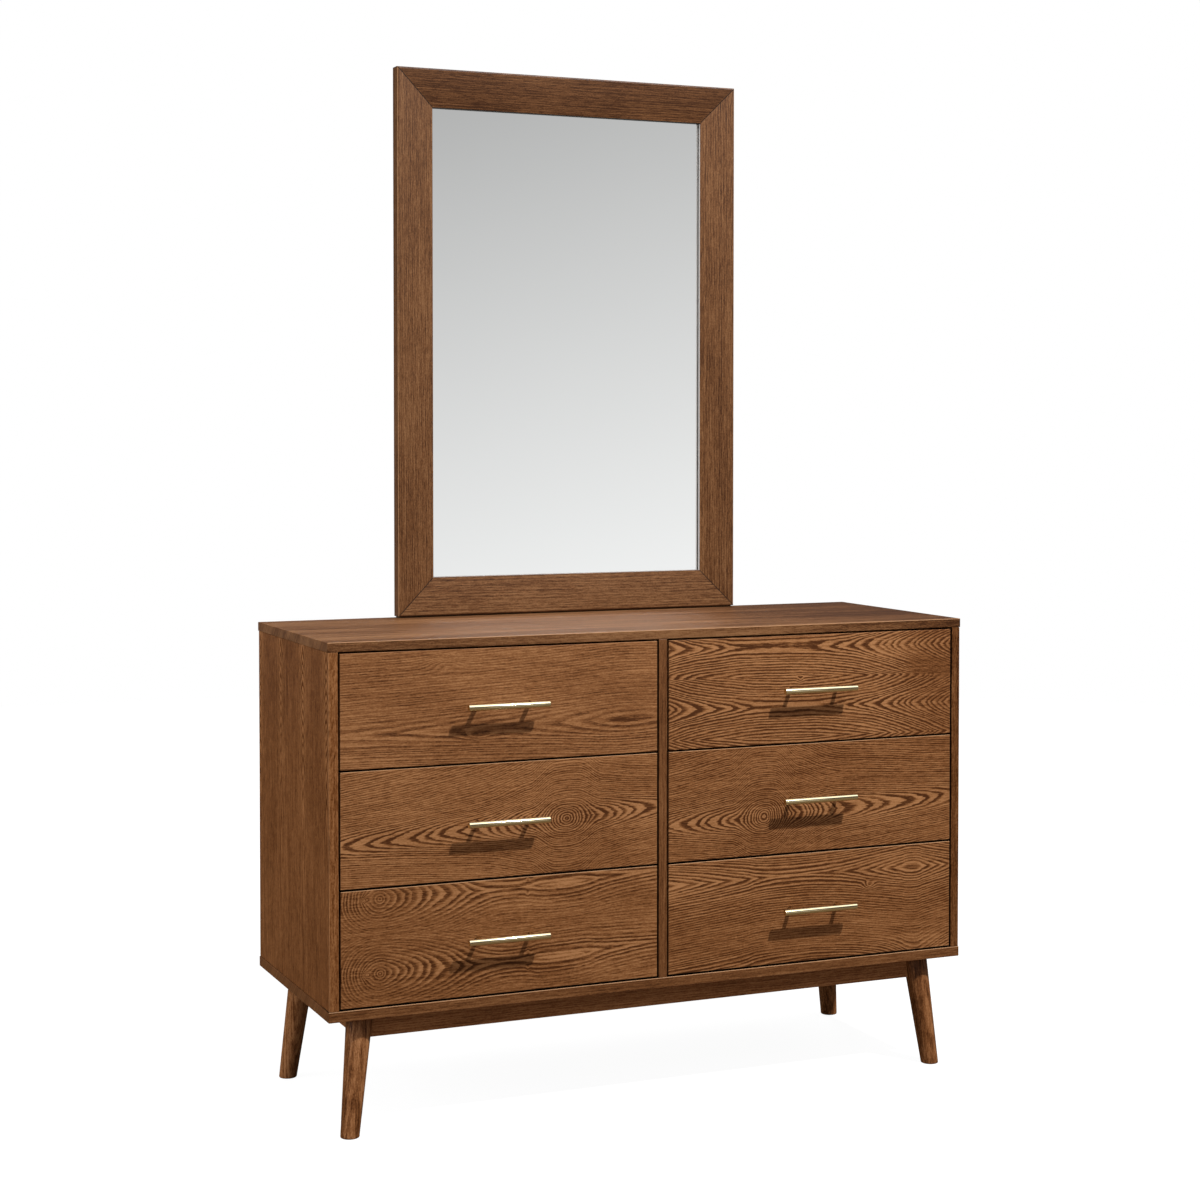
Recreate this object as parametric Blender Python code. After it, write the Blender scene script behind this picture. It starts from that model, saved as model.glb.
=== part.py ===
"""Six-drawer dresser on splayed turned legs, with an upright framed mirror behind its top.

Units are metres, +Z is up, +X is to the right of someone facing the drawers and
the drawer fronts face -Y. The origin is on the floor, in the middle of the
overall box. The drawers slide out towards -Y.
"""
import math

import bmesh
import bpy
import numpy as np
from mathutils import Vector

MM = 0.001

# ------------------------------------------------------------------ driving dimensions (mm)
WIDTH = 1220.0            # top and bottom panels, end to end
DEPTH = 443.0             # top and bottom panels, front to back
HEIGHT = 835.0            # floor to top surface
TOP_T = 16.0              # top panel thickness
BOTTOM_T = 18.0           # bottom panel thickness
LEG_H = 203.0             # floor to underside of bottom panel
SIDE_INSET = 1.5          # side panels sit this far in from the panel ends
SIDE_T = 16.5
DIVIDER_T = 16.0
GAP = 0.3                 # clearance between pieces that touch
EDGE = 0.8                # eased arris on boards

BACK_FRONT_Y = 420.0      # front face of the back panels, from the front edge
BACK_T = 4.0
BACK_RAIL_H = 100.0

FRONT_T = 18.0            # drawer fronts, flush with the case's front edges
FRONT_W = 578.0
FRONT_Z = ((224.0, 420.2), (423.2, 619.1), (622.1, 816.0))   # bottom, middle, top row
COLUMN_X = {"left": 310.0, "right": 910.0}                   # centre of each column, from the left end

BOX_SIDE_GAP = 13.0       # space for one slide at each side of a drawer box
BOX_T = 12.0
BOX_H = 140.0
BOX_LIFT = 18.0           # box bottom above the front's lower edge
BOX_BACK_Y = 412.0
GROOVE_Z = 10.0
GROOVE_H = 5.6
GROOVE_D = 6.0
BOX_BOTTOM_T = 5.0

SLIDE_H = 45.0            # cabinet member of a drawer slide
SLIDE_D = 10.0
SLIDE_T = 1.2
SLIDE_LIP = 3.0
SLIDE_Y = (20.0, 400.0)

PULL_L = 147.0
PULL_R = 5.4
PULL_OUT = 29.3           # bar axis in front of the drawer front
PULL_CENTRES = 96.0
POST_R = 3.9

LEG_TOP = (68.0, 47.5, 22.7)      # inset from end, inset from front or back, radius
LEG_FOOT = (44.5, 29.0, 16.1)
FOOT_ROUND = 2.0
APRON_H = 41.0
APRON_T = 16.0
APRON_FRONT_INSET = 41.0
APRON_SIDE_INSET = 63.0

MIRROR_W = 697.6
MIRROR_H = 1020.8
MIRROR_Z = 837.6
MIRROR_RAIL = 71.6
MIRROR_T = 26.2
MIRROR_SLOPE = 8.2        # the face falls this much from the outer edge to the glass
MIRROR_ROUND = 3.0
MIRROR_LIP = 8.3          # thickness of the inner lip in front of the glass
RABBET_W = 10.0
GLASS_T = 4.0
BACKBOARD_T = 3.2

SUPPORT_W = 50.0
SUPPORT_T = 17.7
SUPPORT_X = 313.0
SUPPORT_Z = (690.0, 1560.0)

# the origin sits under the middle of the overall box
Y_FRONT = -(PULL_OUT + PULL_R)
Y_BACK = DEPTH + GAP + SUPPORT_T
Y0 = 0.5 * (Y_FRONT + Y_BACK)
X0 = 0.5 * WIDTH


def at(x, y, z):
    """Case coordinates (mm from the left end, front edge and floor) to the part's frame (m)."""
    return Vector(((x - X0) * MM, (y - Y0) * MM, z * MM))


# ------------------------------------------------------------------ start clean
for ob in list(bpy.data.objects):
    bpy.data.objects.remove(ob, do_unlink=True)
for me in list(bpy.data.meshes):
    bpy.data.meshes.remove(me)

scene = bpy.context.scene
collection = scene.collection


# ------------------------------------------------------------------ materials
def material(name, colour, rough, metallic=0.0):
    m = bpy.data.materials.new(name)
    m.use_nodes = True
    p = m.node_tree.nodes["Principled BSDF"]
    p.inputs["Base Color"].default_value = (*colour, 1.0)
    p.inputs["Roughness"].default_value = rough
    p.inputs["Metallic"].default_value = metallic
    m.diffuse_color = (*colour, 1.0)
    return m


BASE = {
    "case": ((0.165, 0.078, 0.035), 0.42, 0.0),
    "front": ((0.185, 0.087, 0.038), 0.42, 0.0),
    "leg": ((0.150, 0.066, 0.028), 0.38, 0.0),
    "mirror_frame": ((0.150, 0.070, 0.032), 0.42, 0.0),
    "box": ((0.560, 0.400, 0.235), 0.60, 0.0),
    "ply": ((0.600, 0.440, 0.270), 0.65, 0.0),
    "hardboard": ((0.230, 0.125, 0.065), 0.75, 0.0),
    "slide": ((0.620, 0.630, 0.640), 0.32, 1.0),
    "pull": ((0.780, 0.690, 0.500), 0.24, 1.0),
    "glass": ((0.880, 0.890, 0.890), 0.02, 1.0),
}


# ------------------------------------------------------------------ helpers
def put(name, mesh, kind, location, parent=None):
    ob = bpy.data.objects.new(name, mesh)
    colour, rough, metallic = BASE[kind]
    if not mesh.materials:
        mesh.materials.append(None)
    collection.objects.link(ob)
    ob.material_slots[0].link = 'OBJECT'
    ob.material_slots[0].material = material(name, colour, rough, metallic)
    ob.location = location
    if parent is not None:
        ob.parent = parent
        ob.location = location - parent.location
    return ob


def from_bmesh(bm, name, smooth_angle=None):
    bmesh.ops.recalc_face_normals(bm, faces=bm.faces)
    me = bpy.data.meshes.new(name)
    bm.to_mesh(me)
    bm.free()
    if smooth_angle is not None:
        me.shade_smooth()
        me.set_sharp_from_angle(angle=math.radians(smooth_angle))
    return me


def ease(ob, width=EDGE, segments=2):
    mod = ob.modifiers.new("eased_edges", 'BEVEL')
    mod.width = width * MM
    mod.segments = segments
    mod.limit_method = 'ANGLE'
    mod.angle_limit = math.radians(40)
    mod.harden_normals = False
    return mod


def board(name, kind, lo, hi, parent=None, width=EDGE, segments=2):
    """A rectangular board between two corners in case coordinates (mm)."""
    lo, hi = np.array(lo, float), np.array(hi, float)
    size = (hi - lo) * MM
    bm = bmesh.new()
    bmesh.ops.create_cube(bm, size=1.0)
    bmesh.ops.scale(bm, vec=Vector(size), verts=bm.verts)
    ob = put(name, from_bmesh(bm, name), kind, at(*(0.5 * (lo + hi))), parent)
    if width:
        ease(ob, width, segments)
    return ob


def prism(name, profile, length, axis):
    """Extrude a closed outline of (a, b) millimetre points along one axis, centred on it."""
    bm = bmesh.new()
    rings = []
    for s in (-0.5, 0.5):
        ring = []
        for a, b in profile:
            t = s * length
            co = {"x": (t, a, b), "y": (a, t, b), "z": (a, b, t)}[axis]
            ring.append(bm.verts.new(Vector(co) * MM))
        rings.append(ring)
    n = len(profile)
    for i in range(n):
        j = (i + 1) % n
        bm.faces.new((rings[0][i], rings[0][j], rings[1][j], rings[1][i]))
    bm.faces.new(rings[0])
    bm.faces.new(rings[1])
    return from_bmesh(bm, name)


def rings_to_mesh(name, rings, smooth_angle):
    """Skin a stack of rings (lists of metre points) and cap both ends."""
    bm = bmesh.new()
    vs = [[bm.verts.new(p) for p in r] for r in rings]
    n = len(vs[0])
    for a, b in zip(vs[:-1], vs[1:]):
        for i in range(n):
            j = (i + 1) % n
            bm.faces.new((a[i], a[j], b[j], b[i]))
    bm.faces.new(vs[0])
    bm.faces.new(vs[-1])
    return from_bmesh(bm, name, smooth_angle)


# ------------------------------------------------------------------ case
ROW = ("bottom", "middle", "top")
Z_FLOOR_OF_CASE = LEG_H + BOTTOM_T
Z_UNDER_TOP = HEIGHT - TOP_T
INNER_L = SIDE_INSET + SIDE_T
INNER_R = WIDTH - INNER_L

board("top_panel", "case", (0, 0, Z_UNDER_TOP), (WIDTH, DEPTH, HEIGHT), width=1.0, segments=3)
board("bottom_panel", "case", (0, 0, LEG_H), (WIDTH, DEPTH, Z_FLOOR_OF_CASE), width=1.0, segments=3)
board("side_panel_left", "case", (SIDE_INSET, 0, Z_FLOOR_OF_CASE + GAP), (INNER_L, DEPTH, Z_UNDER_TOP - GAP))
board("side_panel_right", "case", (INNER_R, 0, Z_FLOOR_OF_CASE + GAP),
      (WIDTH - SIDE_INSET, DEPTH, Z_UNDER_TOP - GAP))
DIV_L, DIV_R = X0 - DIVIDER_T / 2, X0 + DIVIDER_T / 2
board("centre_divider", "case", (DIV_L, 0, Z_FLOOR_OF_CASE + GAP), (DIV_R, BACK_FRONT_Y - GAP, Z_UNDER_TOP - GAP))
board("back_panel_left", "hardboard", (INNER_L + GAP, BACK_FRONT_Y, Z_FLOOR_OF_CASE + GAP),
      (X0 - GAP / 2, BACK_FRONT_Y + BACK_T, Z_UNDER_TOP - GAP), width=0.3, segments=1)
board("back_panel_right", "hardboard", (X0 + GAP / 2, BACK_FRONT_Y, Z_FLOOR_OF_CASE + GAP),
      (INNER_R - GAP, BACK_FRONT_Y + BACK_T, Z_UNDER_TOP - GAP), width=0.3, segments=1)
board("back_rail", "case", (INNER_L + GAP, BACK_FRONT_Y + BACK_T + GAP, Z_UNDER_TOP - GAP - BACK_RAIL_H),
      (INNER_R - GAP, DEPTH, Z_UNDER_TOP - GAP))


# ------------------------------------------------------------------ legs and apron
LEG_SIDES = 44


def leg_rings(grow=0.0, z_lo=0.0, z_hi=LEG_H - GAP, rounded=True):
    """Horizontal rings of a splayed tapered leg at the front left corner, in case millimetres."""
    def ring(z, shrink=0.0):
        t = z / LEG_H
        cx = LEG_FOOT[0] + (LEG_TOP[0] - LEG_FOOT[0]) * t
        cy = LEG_FOOT[1] + (LEG_TOP[1] - LEG_FOOT[1]) * t
        r = LEG_FOOT[2] + (LEG_TOP[2] - LEG_FOOT[2]) * t + grow - shrink
        return [(cx + r * math.cos(a), cy + r * math.sin(a), z)
                for a in (2 * math.pi * i / LEG_SIDES for i in range(LEG_SIDES))]
    out = []
    if rounded:
        for k in range(4):
            a = math.radians(90.0 * k / 4)
            out.append(ring(FOOT_ROUND * (1 - math.sin(a)), FOOT_ROUND * (1 - math.cos(a))))
        out = [ring(FOOT_ROUND * (1 - math.cos(math.radians(90.0 * k / 4))),
                    FOOT_ROUND * (1 - math.sin(math.radians(90.0 * k / 4)))) for k in range(5)]
        out.append(ring(z_hi))
    else:
        out.append(ring(z_lo))
        out.append(ring(z_hi))
    return out


def leg_mesh(name, flip_x, flip_y, **kw):
    """The leg for one corner, with its vertices about the middle of its top."""
    cx = WIDTH - LEG_TOP[0] if flip_x else LEG_TOP[0]
    cy = DEPTH - LEG_TOP[1] if flip_y else LEG_TOP[1]
    rings = []
    for ring in leg_rings(**kw):
        pts = []
        for x, y, z in ring:
            x = WIDTH - x if flip_x else x
            y = DEPTH - y if flip_y else y
            pts.append(Vector((x - cx, y - cy, z - LEG_H)) * MM)
        rings.append(pts)
    return rings_to_mesh(name, rings, 35), at(cx, cy, LEG_H)


CORNERS = {"front_left": (False, False), "front_right": (True, False),
           "back_left": (False, True), "back_right": (True, True)}
cutters = {}
for corner, (fx, fy) in CORNERS.items():
    me, loc = leg_mesh("leg_" + corner, fx, fy)
    put("leg_" + corner, me, "leg", loc)
    me, loc = leg_mesh("cope_" + corner, fx, fy, grow=GAP, z_lo=LEG_H - 2 * APRON_H, z_hi=LEG_H + 10, rounded=False)
    c = bpy.data.objects.new("cope_" + corner, me)
    collection.objects.link(c)
    c.location = loc
    c.hide_render = True
    c.display_type = 'WIRE'
    cutters[corner] = c


def apron(name, lo, hi, corners):
    ob = board(name, "leg", lo, hi, width=0.6, segments=2)
    for corner in corners:
        mod = ob.modifiers.new("cope_" + corner, 'BOOLEAN')
        mod.operation = 'DIFFERENCE'
        mod.solver = 'EXACT'
        mod.object = cutters[corner]
    return ob


AZ0, AZ1 = LEG_H - APRON_H, LEG_H - GAP
apron("apron_front", (LEG_TOP[0], APRON_FRONT_INSET, AZ0), (WIDTH - LEG_TOP[0], APRON_FRONT_INSET + APRON_T, AZ1),
      ("front_left", "front_right"))
apron("apron_back", (LEG_TOP[0], DEPTH - APRON_FRONT_INSET - APRON_T, AZ0),
      (WIDTH - LEG_TOP[0], DEPTH - APRON_FRONT_INSET, AZ1), ("back_left", "back_right"))
apron("apron_left", (APRON_SIDE_INSET, LEG_TOP[1], AZ0), (APRON_SIDE_INSET + APRON_T, DEPTH - LEG_TOP[1], AZ1),
      ("front_left", "back_left"))
apron("apron_right", (WIDTH - APRON_SIDE_INSET - APRON_T, LEG_TOP[1], AZ0),
      (WIDTH - APRON_SIDE_INSET, DEPTH - LEG_TOP[1], AZ1), ("front_right", "back_right"))


# ------------------------------------------------------------------ drawer slides, cabinet members
def slide_profile(open_to):
    """C-section, web at x = 0, opening towards +x (open_to = 1) or -x (open_to = -1), mid height at 0."""
    h, d, t, lip = SLIDE_H / 2, SLIDE_D, SLIDE_T, SLIDE_LIP
    pts = [(0, -h), (d, -h), (d, -h + lip), (d - t, -h + lip), (d - t, -h + t), (t, -h + t),
           (t, h - t), (d - t, h - t), (d - t, h - lip), (d, h - lip), (d, h), (0, h)]
    return [(open_to * x, z) for x, z in pts]


def box_z(row):
    z0 = FRONT_Z[row][0] + BOX_LIFT
    return z0, z0 + BOX_H


SLIDE_LEN = SLIDE_Y[1] - SLIDE_Y[0]
slide_meshes = {1: prism("slide_open_right", slide_profile(1), SLIDE_LEN, "y"),
                -1: prism("slide_open_left", slide_profile(-1), SLIDE_LEN, "y")}
SLIDE_WALLS = {("left", "outer"): (INNER_L + GAP, 1), ("left", "inner"): (DIV_L - GAP, -1),
               ("right", "inner"): (DIV_R + GAP, 1), ("right", "outer"): (INNER_R - GAP, -1)}
for row in range(3):
    z = 0.5 * sum(box_z(row))
    for (column, wall), (x, way) in SLIDE_WALLS.items():
        put("slide_%s_%s_%s" % (ROW[row], column, wall), slide_meshes[way], "slide",
            at(x, 0.5 * sum(SLIDE_Y), z))


# ------------------------------------------------------------------ drawers
def box_ring_mesh(width, depth):
    """Four box sides as one glued frame, with the groove for the bottom cut round the inside."""
    c = 0.7
    profile = [(0, c), (c, 0), (BOX_T - c, 0), (BOX_T, c), (BOX_T, GROOVE_Z), (BOX_T - GROOVE_D, GROOVE_Z),
               (BOX_T - GROOVE_D, GROOVE_Z + GROOVE_H), (BOX_T, GROOVE_Z + GROOVE_H),
               (BOX_T, BOX_H - c), (BOX_T - c, BOX_H), (c, BOX_H), (0, BOX_H - c)]
    bm = bmesh.new()
    loops = []
    for sx, sy in ((-1, -1), (1, -1), (1, 1), (-1, 1)):
        loops.append([bm.verts.new(Vector((sx * (width / 2 - u), sy * (depth / 2 - u), z)) * MM)
                      for u, z in profile])
    n = len(profile)
    for k in range(4):
        a, b = loops[k], loops[(k + 1) % 4]
        for i in range(n):
            j = (i + 1) % n
            bm.faces.new((a[i], a[j], b[j], b[i]))
    return from_bmesh(bm, "drawer_box")


def pull_mesh():
    """Round bar on two posts. The origin is on the drawer's face, midway between the posts."""
    def tube(name, axis, start, end, r, sides, chamfer_start=0.0, chamfer_end=0.0):
        start, end = Vector(start), Vector(end)
        d = (end - start).normalized()
        u = Vector((0, 0, 1))
        v = d.cross(u).normalized()
        stops = [(0.0, r - chamfer_start)] if chamfer_start else []
        stops += [(chamfer_start, r), ((end - start).length - chamfer_end, r)]
        stops += [((end - start).length, r - chamfer_end)] if chamfer_end else []
        rings = [[(start + d * s + (u * math.cos(a) + v * math.sin(a)) * rr) * MM
                  for a in (2 * math.pi * i / sides for i in range(sides))] for s, rr in stops]
        ob = bpy.data.objects.new(name, rings_to_mesh(name, rings, 40))
        collection.objects.link(ob)
        return ob
    bar = tube("bar", "x", (-PULL_L / 2, -PULL_OUT, 0), (PULL_L / 2, -PULL_OUT, 0), PULL_R, 32, 0.6, 0.6)
    posts = [tube("post", "y", (s * PULL_CENTRES / 2, -PULL_OUT + 1.0, 0), (s * PULL_CENTRES / 2, -GAP, 0),
                  POST_R, 20) for s in (-1, 1)]
    for p in posts:
        mod = bar.modifiers.new("post", 'BOOLEAN')
        mod.operation = 'UNION'
        mod.solver = 'EXACT'
        mod.object = p
    dg = bpy.context.evaluated_depsgraph_get()
    me = bpy.data.meshes.new_from_object(bar.evaluated_get(dg))
    me.name = "pull"
    for ob in [bar] + posts:
        bpy.data.objects.remove(ob, do_unlink=True)
    me.shade_smooth()
    me.set_sharp_from_angle(angle=math.radians(40))
    return me


OPENING_W = DIV_L - INNER_L
BOX_W = OPENING_W - 2 * BOX_SIDE_GAP
BOX_FRONT_Y = FRONT_T + GAP
BOX_D = BOX_BACK_Y - BOX_FRONT_Y
box_mesh = box_ring_mesh(BOX_W, BOX_D)
pull = pull_mesh()

for row in range(3):
    for column, cx in COLUMN_X.items():
        label = "%s_%s" % (ROW[row], column)
        z0, z1 = FRONT_Z[row]
        bz0, bz1 = box_z(row)
        mover = bpy.data.objects.new("drawer_%s" % label, None)
        collection.objects.link(mover)
        mover.location = at(cx, 0, 0.5 * (bz0 + bz1))
        bpy.context.view_layer.update()
        board("front_" + label, "front", (cx - FRONT_W / 2, 0, z0), (cx + FRONT_W / 2, FRONT_T, z1),
              parent=mover, width=1.0, segments=3)
        put("box_" + label, box_mesh, "box", at(cx, 0.5 * (BOX_FRONT_Y + BOX_BACK_Y), bz0), mover)
        w = BOX_W / 2 - BOX_T + GROOVE_D - GAP
        d = BOX_D / 2 - BOX_T + GROOVE_D - GAP
        ym = 0.5 * (BOX_FRONT_Y + BOX_BACK_Y)
        board("floor_" + label, "ply", (cx - w, ym - d, bz0 + GROOVE_Z + GAP),
              (cx + w, ym + d, bz0 + GROOVE_Z + GAP + BOX_BOTTOM_T), parent=mover, width=0)
        put("pull_" + label, pull, "pull", at(cx, 0, 0.5 * (z0 + z1)), mover)


# ------------------------------------------------------------------ mirror
MIRROR_Y = DEPTH - MIRROR_T       # front plane, at the frame's outer edge
MX0, MX1 = X0 - MIRROR_W / 2, X0 + MIRROR_W / 2
MZ0, MZ1 = MIRROR_Z, MIRROR_Z + MIRROR_H


def rail_profile():
    """Cross-section of a frame rail: distance in from the outer edge, and depth from the front plane."""
    w, t, s, r = MIRROR_RAIL, MIRROR_T, MIRROR_SLOPE, MIRROR_ROUND
    tilt = math.atan2(s, w)
    pts = [(0.5, t), (0.0, t - 0.5)]
    # outer front arris, an arc from the outer side face onto the sloping face
    y_line = lambda u: u * s / w
    centre = (r, r / math.cos(tilt) + y_line(r))
    for k in range(7):
        a = math.pi + (math.pi / 2 + tilt) * k / 6
        pts.append((centre[0] + r * math.cos(a), centre[1] + r * math.sin(a)))
    # inner front arris
    pts += [(w - 0.9, y_line(w - 0.9)), (w - 0.25, y_line(w) + 0.2), (w, y_line(w) + 0.9)]
    pts += [(w, s + MIRROR_LIP), (w - RABBET_W, s + MIRROR_LIP), (w - RABBET_W, t - 0.5), (w - RABBET_W - 0.5, t)]
    return pts


def mirror_rail(name, edge):
    """One mitred rail. edge is the side of the frame that it makes."""
    cut = GAP / math.sqrt(2)
    rings = [[], []]
    for u, v in rail_profile():
        y = MIRROR_Y + v
        if edge in ("top", "bottom"):
            z = MZ1 - u if edge == "top" else MZ0 + u
            ends = ((MX0 + u + cut, y, z), (MX1 - u - cut, y, z))
        else:
            x = MX0 + u if edge == "left" else MX1 - u
            ends = ((x, y, MZ0 + u + cut), (x, y, MZ1 - u - cut))
        for k in (0, 1):
            rings[k].append(ends[k])
    lo = np.array(rings).reshape(-1, 3)
    mid = 0.5 * (lo.min(0) + lo.max(0))
    pts = [[Vector(np.array(p) - mid) * MM for p in r] for r in rings]
    me = rings_to_mesh(name, pts, 30)
    return put(name, me, "mirror_frame", at(*mid))


for edge in ("top", "bottom", "left", "right"):
    mirror_rail("mirror_frame_" + edge, edge)

inset = MIRROR_RAIL - RABBET_W + 0.5
gy = MIRROR_Y + MIRROR_SLOPE + MIRROR_LIP + GAP
board("mirror_glass", "glass", (MX0 + inset, gy, MZ0 + inset), (MX1 - inset, gy + GLASS_T, MZ1 - inset), width=0)
gy += GLASS_T + GAP
board("mirror_backboard", "hardboard", (MX0 + inset, gy, MZ0 + inset), (MX1 - inset, gy + BACKBOARD_T, MZ1 - inset),
      width=0)
for side, s in (("left", -1), ("right", 1)):
    x = X0 + s * SUPPORT_X
    board("mirror_support_" + side, "case", (x - SUPPORT_W / 2, DEPTH + GAP, SUPPORT_Z[0]),
          (x + SUPPORT_W / 2, DEPTH + GAP + SUPPORT_T, SUPPORT_Z[1]), width=1.5, segments=3)

bpy.context.view_layer.update()
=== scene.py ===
"""Looks of the six-drawer dresser with its upright mirror: finishes, fine shapes, light and camera.

Lengths in this file are millimetres unless a name says otherwise; MM turns them into Blender's metres.
"""

import math

import bmesh
import bpy
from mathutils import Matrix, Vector


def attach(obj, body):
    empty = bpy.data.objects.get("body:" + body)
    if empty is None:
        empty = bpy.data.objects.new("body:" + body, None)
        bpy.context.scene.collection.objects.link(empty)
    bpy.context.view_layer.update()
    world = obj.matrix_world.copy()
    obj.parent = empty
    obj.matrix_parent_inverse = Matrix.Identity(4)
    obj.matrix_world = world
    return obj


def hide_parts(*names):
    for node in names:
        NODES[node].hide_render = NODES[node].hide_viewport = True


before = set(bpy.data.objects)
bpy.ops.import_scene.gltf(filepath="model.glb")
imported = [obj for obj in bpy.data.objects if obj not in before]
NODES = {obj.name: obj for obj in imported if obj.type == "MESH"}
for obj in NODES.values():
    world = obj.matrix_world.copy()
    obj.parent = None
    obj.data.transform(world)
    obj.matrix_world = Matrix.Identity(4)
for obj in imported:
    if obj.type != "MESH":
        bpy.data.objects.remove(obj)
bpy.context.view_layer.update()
MM = 0.001
scene = bpy.context.scene

# ------------------------------------------------------------------ camera: the photograph's viewing angle
cam_data = bpy.data.cameras.new("camera")
cam_data.lens = 67.513
cam_data.sensor_width = 36.0
cam_data.shift_x = 0.00216
cam_data.shift_y = -0.0839
cam_data.clip_end = 100.0
camera = bpy.data.objects.new("camera", cam_data)
camera.location = (-1.66665, -3.7824, 1.18646)
camera.rotation_euler = (math.radians(90.0 - 1.778), 0.0, math.radians(-23.351))
scene.collection.objects.link(camera)
scene.camera = camera
scene.view_settings.view_transform = "Standard"
scene.view_settings.look = "None"


# ------------------------------------------------------------------ short spelling for shader maths
class Val:
    """One number socket. Sums, products and so on of these make Math nodes."""

    def __init__(self, net, socket):
        self.net, self.s = net, socket

    def __add__(self, o): return self.net.m("ADD", self, o)
    def __radd__(self, o): return self.net.m("ADD", o, self)
    def __sub__(self, o): return self.net.m("SUBTRACT", self, o)
    def __rsub__(self, o): return self.net.m("SUBTRACT", o, self)
    def __mul__(self, o): return self.net.m("MULTIPLY", self, o)
    def __rmul__(self, o): return self.net.m("MULTIPLY", o, self)
    def __truediv__(self, o): return self.net.m("DIVIDE", self, o)
    def __neg__(self): return self.net.m("MULTIPLY", self, -1.0)


class Net:
    """A node tree being written."""

    def __init__(self, tree):
        self.t = tree

    def new(self, kind, **props):
        node = self.t.nodes.new(kind)
        for k, v in props.items():
            setattr(node, k, v)
        return node

    def put(self, socket, value):
        if isinstance(value, Val):
            value = value.s
        if isinstance(value, bpy.types.NodeSocket):
            self.t.links.new(value, socket)
        else:
            socket.default_value = value

    def m(self, op, *args, clamp=False):
        node = self.new("ShaderNodeMath", operation=op, use_clamp=clamp)
        for i, a in enumerate(args):
            self.put(node.inputs[i], a)
        return Val(self, node.outputs[0])

    def clamp01(self, a):
        return self.m("ADD", a, 0.0, clamp=True)

    def span(self, x, a, b, lo=0.0, hi=1.0, smooth=True):
        """lo where x is at a, hi where x is at b, held outside."""
        node = self.new("ShaderNodeMapRange", interpolation_type="SMOOTHSTEP" if smooth else "LINEAR")
        for i, v in enumerate((x, a, b, lo, hi)):
            self.put(node.inputs[i], v)
        return Val(self, node.outputs[0])

    def curve(self, x, points, ends=None):
        """A smooth curve through the points, held outside them."""
        xs, ys = [p[0] for p in points], [p[1] for p in points]
        x0, x1 = min(xs), max(xs)
        y0, y1 = min(ys), max(ys)
        node = self.new("ShaderNodeFloatCurve")
        c = node.mapping.curves[0]
        while len(c.points) < len(points):
            c.points.new(0.5, 0.5)
        for p, (a, b) in zip(sorted(range(len(points))), sorted(points)):
            c.points[p].location = ((a - x0) / (x1 - x0), (b - y0) / (y1 - y0))
        for p in c.points:
            p.handle_type = "AUTO_CLAMPED"
        node.mapping.update()
        self.put(node.inputs["Value"], self.span(x, x0, x1, smooth=False))
        return Val(self, node.outputs[0]) * (y1 - y0) + y0

    def noise(self, vector, scale=1.0, detail=2.0, rough=0.5, dims="3D", w=None):
        node = self.new("ShaderNodeTexNoise", noise_dimensions=dims)
        if vector is not None and "Vector" in node.inputs:
            self.put(node.inputs["Vector"], vector)
        if w is not None:
            self.put(node.inputs["W"], w)
        self.put(node.inputs["Scale"], scale)
        self.put(node.inputs["Detail"], detail)
        self.put(node.inputs["Roughness"], rough)
        return Val(self, node.outputs[0])

    def white(self, w):
        node = self.new("ShaderNodeTexWhiteNoise", noise_dimensions="1D")
        self.put(node.inputs["W"], w)
        return Val(self, node.outputs["Value"])

    def scaled(self, vector, by):
        node = self.new("ShaderNodeVectorMath", operation="MULTIPLY")
        self.put(node.inputs[0], vector)
        node.inputs[1].default_value = by
        return node.outputs[0]

    def xyz(self, x, y, z):
        node = self.new("ShaderNodeCombineXYZ")
        for i, v in enumerate((x, y, z)):
            self.put(node.inputs[i], v)
        return node.outputs[0]

    def split(self, vector):
        node = self.new("ShaderNodeSeparateXYZ")
        self.put(node.inputs[0], vector)
        return [Val(self, s) for s in node.outputs]

    def mix(self, factor, a, b, blend="MIX"):
        node = self.new("ShaderNodeMix", data_type="RGBA", blend_type=blend)
        self.put(node.inputs[0], factor)
        self.put(node.inputs[6], a)
        self.put(node.inputs[7], b)
        return node.outputs[2]

    def place(self):
        """Position on the piece in millimetres of the model's own frame."""
        node = self.new("ShaderNodeTexCoord")
        return self.split(self.scaled(node.outputs["Object"], (1000.0, 1000.0, 1000.0)))

    def hump(self, x, y, x0, y0, rx, ry):
        """1 at (x0, y0), falling smoothly to 0 over about twice rx and ry."""
        a = (x - x0) * (1.0 / rx)
        b = (y - y0) * (1.0 / ry)
        return self.m("EXPONENT", -(a * a + b * b))


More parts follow.
